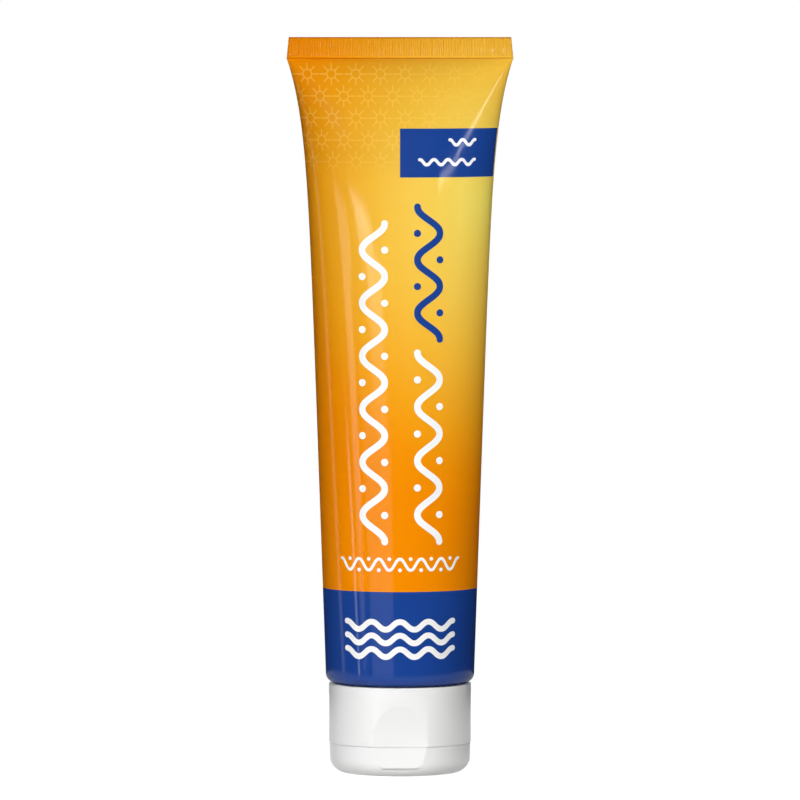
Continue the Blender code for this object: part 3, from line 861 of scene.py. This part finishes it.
def print_material():
    """The glossy printed film: the ground, the suns, the blue band and label, the ornament, and painted
    shade on the seal.
    """
    coat = {"Coat_Weight": 0.34, "Coat_Roughness": 0.09, "Coat_IOR": 1.6}
    made, tree, shader = new_material("printed_sleeve", PRINT_ROUGHNESS, Specular_IOR_Level=0.0, **coat)
    around, height = print_terms(tree)
    suns = sun_rows(around, height)
    fade = sun_fade(around, height)
    colour = ground_colour(around, height)
    colour = mixed(tree, (-suns + 1.0) * fade * SUN_GAP_SHADE, colour, (0, 0, 0, 1))
    colour = mixed(tree, suns * fade * SUN_SHARE, colour, linear(SUN_COLOUR))
    label = height.between(LABEL_LOW, LABEL_HIGH) * around.between(0.0, LABEL_END)
    colour = mixed(tree, label.or_else(height < BAND_TOP), colour, linear(PRINT_BLUE))
    for share, ink in ornament(around, height):
        colour = mixed(tree, share, colour, linear(ink))
    # Shade painted on the seal's grooves, crease and cut top edge
    colour = mixed(tree, painted_seal_shade(around, height), colour, linear(CRIMP_PAINTED_SHADE))
    tree.links.new(colour, shader.inputs["Base Color"])
    dents = noise(tree, scale=1.0, detail=1.0, vector=stretched(tree, 55, 55, 14))
    grain = noise(tree, scale=2600.0, detail=2.0)
    vary_roughness(tree, shader, PRINT_ROUGHNESS, spread=0.08, source=noise(tree, scale=180.0, detail=3.0))
    bump(tree, shader, dents + grain * PRINT_GRAIN_SHARE, PRINT_RELIEF)
    return made


def painted_corner_shade(tree):
    """Share of painted shade: near one in the piece's own narrow grooves and sharp inner corners, else
    zero.
    """
    node = tree.nodes.new("ShaderNodeAmbientOcclusion")
    node.samples = CORNER_SAMPLES
    node.only_local = True
    node.inputs["Distance"].default_value = CORNER_REACH
    openness = Term(tree, node.outputs["AO"])
    return ((openness - CORNER_START) / (CORNER_FULL - CORNER_START)).clamped()


def cap_material(name, roughness):
    """White moulded plastic with a little depth, faint flow marks, a fine skin and painted shade in its
    inner corners.
    """
    depth = {
        "Subsurface_Weight": 0.12,
        "Subsurface_Radius": (0.0012, 0.0011, 0.0010),
        "Subsurface_Scale": 1.0,
    }
    made, tree, shader = new_material(name, roughness, IOR=1.49, Specular_IOR_Level=0.75, **depth)
    white = linear(CAP_WHITE)
    unshaded_white = mixed(tree, noise(tree, scale=90.0, detail=3.0), dimmed(white, CAP_CLOUD_SHARE), white)
    # Shade painted in the piece's own grooves and inner corners
    colour = mixed(tree, painted_corner_shade(tree), unshaded_white, dimmed(white, CORNER_SHADE_SHARE))
    tree.links.new(colour, shader.inputs["Base Color"])
    vary_roughness(tree, shader, roughness, spread=0.10, source=noise(tree, scale=420.0, detail=4.0))
    skin = noise(tree, scale=5200.0, detail=2.0)
    flow = noise(tree, scale=1.0, detail=2.0, vector=stretched(tree, 160, 160, 45))
    bump(tree, shader, skin * CAP_SKIN_SHARE + flow * CAP_FLOW_SHARE, CAP_RELIEF)
    return made


def lotion_material():
    """Thick cream with a faint swirl."""
    depth = {"Subsurface_Weight": 0.3, "Subsurface_Radius": (0.0015, 0.0013, 0.0010)}
    made, tree, shader = new_material("cream", roughness=0.3, IOR=1.42, **depth)
    swirl = noise(tree, scale=160.0, detail=4.0)
    cream = linear(LOTION_CREAM)
    colour = mixed(tree, swirl, dimmed(cream, CREAM_SWIRL_SHARE), cream)
    tree.links.new(colour, shader.inputs["Base Color"])
    bump(tree, shader, swirl, CREAM_RELIEF)
    return made


def scoop_level(grown, y):
    """Height at which the recess's round back, grown by a wall, comes forward to y."""
    return SCOOP_Z + math.sqrt((SCOOP_RADIUS + grown) ** 2 - (y - SCOOP_Y) ** 2)


def scoop_block(name, grown, low, high, groove_depth=0.0, groove_height=0.0):
    """A block in front of the cap. Its back is that of the dished thumb recess, grown by a wall.

    A groove of some depth and height can run along the foot of that back.
    """
    radius = SCOOP_RADIUS + grown
    foot = low + groove_height
    start, end = [math.degrees(math.asin((z - SCOOP_Z) / radius)) for z in (foot, high)]
    back = arc((SCOOP_Y, SCOOP_Z), radius, start, end, SCOOP_STEPS)
    if groove_height:
        groove_y = back[0][0] + groove_depth
        back = [(groove_y, low), (groove_y, foot), *back]
    front_y = -BASE_RADIUS - OVERRUN
    rings = []
    for x in np.linspace(-SCOOP_REACH, SCOOP_REACH, SCOOP_STEPS + 1):
        forward = x * x / (2 * SCOOP_ACROSS)
        flat = [(front_y - forward, low), *back, (front_y - forward, high)]
        rings.append([(x, y - forward, z) for y, z in flat])
    return lofted(name, rings)


def scoop_boss(name, outline, high):
    """A turned body cut to the recess's back, which keeps the wall thick behind the recess."""
    boss = turned(name, [*outline, (0, high)])
    low = outline[0][1]
    combine(boss, scoop_block(name + "_back", BASE_WALL, low - BITE, high + BITE), "INTERSECT")
    return boss


def ring_sector(name, inner, outer, low, high, middle, half_angle):
    """A curved block about the cap's axis, centred on a direction from +X."""
    rings = []
    for i in range(POCKET_STEPS + 1):
        turn = middle + half_angle * (2 * i / POCKET_STEPS - 1)
        flat = [(inner, low), (outer, low), (outer, high), (inner, high)]
        rings.append([(r * math.cos(turn), r * math.sin(turn), z) for r, z in flat])
    return lofted(name, rings)


def hinge_cutters():
    """Blocks that cut the film's notch and the two straps' pockets."""
    outer = BASE_RADIUS + OVERRUN
    corners = [(-1, -1), (1, -1), (1, 1), (-1, 1)]
    outline = [(NOTCH_WIDTH / 2 * x, NOTCH_Y, SEAM + NOTCH_HEIGHT / 2 * z) for x, z in corners]
    cutters = [prism("hinge_notch", outline, Vector((0, outer - NOTCH_Y, 0)))]
    half_angle = (STRAP_WIDTH / 2 + SEAM_GAP) / POCKET_RADIUS
    half_height = STRAP_HEIGHT / 2 + SEAM_GAP
    size = (POCKET_RADIUS, outer, SEAM - half_height, SEAM + half_height)
    for side in (-1, 1):
        turn = math.pi / 2 + side * STRAP_ANGLE
        cutters.append(ring_sector("pocket", *size, turn, half_angle))
    return cutters


def shoulder_underside(radius):
    """Height of the shoulder's lower face, a shallow cone between the neck and the sleeve's lip."""
    low_radius = NECK_RADIUS + NECK_ROOT_ROUND
    rise = SLEEVE_LOW - NECK_ROOT
    return NECK_ROOT + rise * (radius - low_radius) / (SHOULDER_EDGE - low_radius)


def base_outline():
    """Half section of the cap's fixed half, round its closed loop from the nozzle's hole."""
    ring_outer = LID_INSIDE - LOCATING_RING_GAP
    ring_inner = ring_outer - LOCATING_RING_WIDTH
    ring_low = DECK_UNDERSIDE - LOCATING_RING_HEIGHT
    socket_top = shoulder_underside(SOCKET_RADIUS) - FIT_GAP
    catch = BEAD_TOP + BEAD_FLANK + FIT_GAP
    return [
        (NOZZLE_HOLE_RADIUS, NOZZLE_TIP),
        *arc((NOZZLE_TIP_RADIUS - NOZZLE_EDGE, NOZZLE_TIP + NOZZLE_EDGE), NOZZLE_EDGE, -90, 0, EDGE_STEPS),
        (NOZZLE_ROOT_RADIUS - NOZZLE_EDGE, DECK_UNDERSIDE - NOZZLE_EDGE),
        (NOZZLE_ROOT_RADIUS, DECK_UNDERSIDE),
        (ring_inner, DECK_UNDERSIDE),
        (ring_inner, ring_low),
        (ring_outer, ring_low),
        (ring_outer, DECK_UNDERSIDE),
        *arc((BASE_RADIUS - CAP_EDGE, DECK_UNDERSIDE + CAP_EDGE), CAP_EDGE, -90, 0, EDGE_STEPS),
        *arc((BASE_RADIUS - CAP_EDGE, BASE_TOP - CAP_EDGE), CAP_EDGE, 0, 90, EDGE_STEPS),
        (BASE_INSIDE, BASE_TOP),
        (BASE_INSIDE, DECK_TOP),
        (SOCKET_RADIUS, DECK_TOP),
        (SOCKET_RADIUS, socket_top),
        (SOCKET_LIP_RADIUS + NECK_ROOT_ROUND / 2, socket_top),
        (SOCKET_LIP_RADIUS, socket_top - NECK_ROOT_ROUND),
        (SOCKET_LIP_RADIUS, catch),
        (SOCKET_GROOVE_RADIUS, catch - BEAD_FLANK),
        (SOCKET_GROOVE_RADIUS, BEAD_LOW),
        (SOCKET_LIP_RADIUS, BEAD_LOW - BEAD_LEAD_IN),
        (SOCKET_LIP_RADIUS, DECK_TOP),
        (NOZZLE_HOLE_RADIUS + SEAL_RING_WALL, DECK_TOP),
        (NOZZLE_HOLE_RADIUS + SEAL_RING_WALL, DECK_TOP + SEAL_RING_HEIGHT),
        (NOZZLE_HOLE_RADIUS, DECK_TOP + SEAL_RING_HEIGHT),
    ]


def base_ribs():
    """Ribs that tie the neck socket to the skirt."""
    bm = bmesh.new()
    size = Vector((BASE_INSIDE - SOCKET_RADIUS + 2 * BITE, BASE_RIB_WIDTH, BASE_RIB_HEIGHT + BITE))
    middle = Vector(((SOCKET_RADIUS + BASE_INSIDE) / 2, 0, DECK_TOP - BITE + size.z / 2))
    for i in range(BASE_RIBS):
        turn = Matrix.Rotation(math.tau * i / BASE_RIBS, 4, "Z")
        place = turn @ Matrix.Translation(middle) @ Matrix.Diagonal((*size, 1))
        bmesh.ops.create_cube(bm, size=1, matrix=place)
    return add_object("base_ribs", bm)


def base_shell():
    """The cap's fixed half. Its locating ring stops short of the lid's boss."""
    base = turned("base_shell", base_outline())
    ring_low = DECK_UNDERSIDE - LOCATING_RING_HEIGHT
    room = scoop_block("boss_room", BASE_WALL + LOCATING_RING_GAP, ring_low - OVERRUN, DECK_UNDERSIDE)
    combine(base, room, "DIFFERENCE")
    combine(base, base_ribs(), "UNION")
    high = scoop_level(BASE_WALL, -BASE_INSIDE)
    outside = BASE_INSIDE + BITE
    outline = [(0, DECK_TOP - BITE), (outside, DECK_TOP - BITE), (outside, high)]
    combine(base, scoop_boss("base_boss", outline, high), "UNION")
    return base


def lid_outline():
    """Half section of the lid, from the middle of its foot round to the plug's tip."""
    foot_radius = LID_RADIUS - LID_DRAFT
    inner_round = LID_FOOT_ROUND - LID_WALL
    inner_centre = (foot_radius - LID_FOOT_ROUND, LID_FLOOR + inner_round)
    plug_radius = NOZZLE_HOLE_RADIUS - PLUG_GAP
    return [
        (0, 0),
        *arc((foot_radius - LID_FOOT_ROUND, LID_FOOT_ROUND), LID_FOOT_ROUND, -90, 0, 3 * CORNER_STEPS),
        *arc((LID_RADIUS - CAP_EDGE, LID_HEIGHT - CAP_EDGE), CAP_EDGE, 0, 90, EDGE_STEPS),
        (LID_INSIDE, LID_HEIGHT),
        *arc(inner_centre, inner_round, 0, -90, 2 * CORNER_STEPS),
        *arc((plug_radius + PLUG_FOOT, LID_FLOOR + PLUG_FOOT), PLUG_FOOT, -90, -180, EDGE_STEPS),
        (plug_radius, PLUG_TIP - PLUG_TAPER * 2),
        (plug_radius - PLUG_TAPER, PLUG_TIP),
        (0, PLUG_TIP),
    ]


def lid_shell():
    """The lid, with a boss behind its part of the recess."""
    lid = turned("lid_shell", lid_outline())
    centre = (LID_RADIUS - LID_DRAFT - LID_FOOT_ROUND, LID_FLOOR + LID_FOOT_ROUND - LID_WALL)
    corner = arc(centre, LID_FOOT_ROUND - LID_WALL + BITE, -90, 0, CORNER_STEPS)
    outline = [(0, LID_FLOOR - BITE), *corner, (LID_INSIDE + BITE, LID_HEIGHT)]
    combine(lid, scoop_boss("lid_boss", outline, LID_HEIGHT), "UNION")
    return lid


def cut_cap(half):
    """Cuts the thumb recess, the hinge's notch and the straps' pockets into one half of the cap."""
    high = scoop_level(0, -BASE_RADIUS)
    scoop = scoop_block("thumb_scoop", 0, SCOOP_LEDGE, high, SCOOP_GROOVE_DEPTH, SCOOP_GROOVE_HEIGHT)
    for cutter in [scoop, *hinge_cutters()]:
        combine(half, cutter, "DIFFERENCE")
    soften(half)


def hinge_film():
    """The living hinge, thin at the seam, in slices."""
    low, high = FILM_BOX
    full = (high[1] - low[1]) / 2
    rings = []
    for i in range(FILM_SLICES + 1):
        share = 2 * i / FILM_SLICES - 1
        z = SEAM + (high[2] - low[2]) / 2 * share
        deep = full * (FILM_WAIST_SHARE + (1 - FILM_WAIST_SHARE) * abs(share))
        front, back = HINGE_Y - deep, HINGE_Y + deep
        rings.append([(low[0], front, z), (high[0], front, z), (high[0], back, z), (low[0], back, z)])
    return lofted("living_hinge", rings)


def hinge_strap(side):
    """One side band of the hinge, in slices from the lid up to the base."""
    inner = POCKET_RADIUS + SEAM_GAP
    outer = inner + STRAP_THICKNESS
    middle = math.pi / 2 + side * STRAP_ANGLE
    half_angle = STRAP_WIDTH / 2 / inner
    turns = [middle + half_angle * (2 * i / STRAP_STEPS - 1) for i in range(STRAP_STEPS + 1)]
    flat = [(inner, t) for t in turns] + [(outer, t) for t in reversed(turns)]
    levels = [SEAM + STRAP_HEIGHT * (i / STRAP_SLICES - 0.5) for i in range(STRAP_SLICES + 1)]
    rings = [[(r * math.cos(t), r * math.sin(t), z) for r, t in flat] for z in levels]
    return lofted("hinge_band_left" if side > 0 else "hinge_band_right", rings)


def lotion_body():
    """The lotion: a column in the neck, under a round body that fills the sleeve."""
    bore = NECK_BORE_RADIUS - FIT_GAP
    skirt = SLEEVE_RADIUS - SLEEVE_WALL - 2 * FIT_GAP - HEAD_WALL
    over_head = CORNER_CENTRE + HEAD_SKIRT + FIT_GAP
    cover = HEAD_WALL + FIT_GAP
    lower = [
        (bore, FILL_BOX[0][2]),
        (bore, shoulder_underside(NECK_BORE_RADIUS) + cover),
        (skirt, shoulder_underside(SHOULDER_EDGE) + cover),
        (skirt, over_head),
    ]
    rings = [even_ring(z, r, r, FILL_SEGMENTS) for r, z in lower]
    inset = SLEEVE_WALL + FIT_GAP
    levels = np.linspace(over_head, FILL_TOP, FILL_RINGS + 1)
    return lofted("lotion_body", rings + [sleeve_ring(z, inset, FILL_SEGMENTS) for z in levels])


def dress(thing, material, body, node):
    """Puts a piece on its body, in place of a solid."""
    thing.data.materials.clear()
    thing.data.materials.append(material)
    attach(thing, body)
    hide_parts(node)


def bend_hinge(piece, material, node):
    """Gives a piece of the hinge its material and bakes its place into its mesh, in place of a solid."""
    piece.data.materials.append(material)
    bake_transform(piece)
    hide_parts(node)


def ray_kinds(tree):
    """Terms that are one for rays from the camera, off gloss, and through glass, in this order."""
    path = tree.nodes.new("ShaderNodeLightPath")
    return [Term(tree, path.outputs[f"Is {kind} Ray"]) for kind in ("Camera", "Glossy", "Transmission")]


def add_floor():
    """A round white table that keeps the tube's shadow."""
    bpy.ops.mesh.primitive_circle_add(vertices=TABLE_SEGMENTS, radius=TABLE_RADIUS, fill_type="NGON")
    floor = bpy.context.object
    floor.name = "floor"
    floor.location.z = -TABLE_DROP
    made, tree, shader = new_material("floor_white", roughness=0.9, Specular_IOR_Level=0.1)
    shader.inputs["Base Color"].default_value = linear(FLOOR_WHITE)
    camera, gloss, through = ray_kinds(tree)
    strength = camera.or_else(gloss).or_else(through) * FLOOR_GLOW
    glow = tree.nodes.new("ShaderNodeEmission")
    total = tree.nodes.new("ShaderNodeAddShader")
    tree.links.new(strength.socket, glow.inputs["Strength"])
    tree.links.new(shader.outputs[0], total.inputs[0])
    tree.links.new(glow.outputs[0], total.inputs[1])
    tree.links.new(total.outputs[0], tree.nodes["Material Output"].inputs["Surface"])
    floor.data.materials.append(made)


def add_world():
    """White where it is seen as the backdrop, and a plain low level everywhere else."""
    world = bpy.data.worlds.new("surround")
    bpy.context.scene.world = world
    world.use_nodes = True
    tree = world.node_tree
    coordinates = tree.nodes.new("ShaderNodeTexCoord")
    split = tree.nodes.new("ShaderNodeSeparateXYZ")
    tree.links.new(coordinates.outputs["Generated"], split.inputs[0])
    behind = Term(tree, split.outputs["Y"]) > BACKDROP_EDGE
    camera, gloss, through = ray_kinds(tree)
    white = camera.or_else(through).or_else(gloss * behind)
    dim = gloss * (ROOM_GLOSS - ROOM_LIGHT) + ROOM_LIGHT
    strength = dim.or_else(white)
    tree.links.new(strength.socket, tree.nodes["Background"].inputs["Strength"])
    tree.nodes["Background"].inputs["Color"].default_value = (1, 1, 1, 1)


def add_lamp(name, azimuth, distance, own_height, aim, size, power, colour, glossy):
    """A soft rectangular lamp that faces the tube's axis at the height of its aim."""
    data = bpy.data.lights.new(name, "AREA")
    data.shape = "RECTANGLE"
    data.size, data.size_y = size
    data.energy = power
    data.color = colour
    lamp = bpy.data.objects.new(name, data)
    turn = math.radians(azimuth)
    level = math.sqrt(max(distance**2 - (own_height - LAMP_CENTRE) ** 2, 0))
    lamp.location = (level * math.sin(turn), -level * math.cos(turn), own_height)
    away = lamp.location - Vector((0, 0, aim))
    lamp.rotation_euler = away.to_track_quat("Z", "Y").to_euler()
    lamp.visible_camera = False
    lamp.visible_glossy = glossy
    lamp.visible_diffuse = not glossy
    bpy.context.scene.collection.objects.link(lamp)
    return data


def add_lamps():
    """The soft lamps light the tube, and the panels are only seen in its gloss."""
    for name, azimuth, distance, own_height, aim, size, spread, share, colour in SOFT_LAMPS:
        half = math.radians(spread / 2)
        # A narrower spread needs less power for the same light on the tube
        focus = 1 - half / math.tan(half) if spread < 180 else 1
        power = share * (math.pi * distance) ** 2 * focus
        data = add_lamp(name, azimuth, distance, own_height, aim, size, power, colour, False)
        data.spread = 2 * half
    for name, azimuth, elevation, angles, radiance in PANELS:
        size = [2 * PANEL_DISTANCE * math.tan(math.radians(s / 2)) for s in angles]
        power = math.pi * size[0] * size[1] * radiance
        own_height = LAMP_CENTRE + PANEL_DISTANCE * math.sin(math.radians(elevation))
        place = (azimuth, PANEL_DISTANCE, own_height, LAMP_CENTRE)
        add_lamp(name, *place, size, power, PANEL_COLOUR, True)


def add_camera():
    """The photograph's view, with the plain view transform."""
    data = bpy.data.cameras.new("camera")
    data.lens = CAMERA_LENS
    data.sensor_width = CAMERA_SENSOR
    data.clip_end = CAMERA_REACH
    camera = bpy.data.objects.new("camera", data)
    camera.location = (0, -CAMERA_DISTANCE, CAMERA_HEIGHT)
    aim = Vector((0, 0, CAMERA_AIM_HEIGHT)) - camera.location
    camera.rotation_euler = aim.to_track_quat("-Z", "Y").to_euler()
    bpy.context.scene.collection.objects.link(camera)
    bpy.context.scene.camera = camera
    bpy.context.scene.view_settings.view_transform = "Standard"


def build():
    add_camera()
    add_floor()
    add_world()
    add_lamps()
    printed = print_material()
    white = cap_material("white_cap", CAP_ROUGHNESS)
    film_white = cap_material("white_hinge", HINGE_ROUGHNESS)
    dress(sleeve_skin(), printed, "tube", "tube_sleeve")
    dress(crimp_plate(), printed, "tube", "tube_sleeve")
    base = base_shell()
    cut_cap(base)
    dress(base, white, "tube", "cap_base")
    lid = lid_shell()
    cut_cap(lid)
    dress(lid, white, "lid", "cap_lid")
    dress(lotion_body(), lotion_material(), "tube", "lotion_fill")
    bend_hinge(hinge_film(), film_white, "hinge_film")
    for side, node in ((1, "hinge_strap_left"), (-1, "hinge_strap_right")):
        bend_hinge(hinge_strap(side), film_white, node)
    head = frame["nodes"]["tube_head"]
    head.data.materials.clear()
    head.data.materials.append(cap_material("head_white", HEAD_ROUGHNESS))


build()
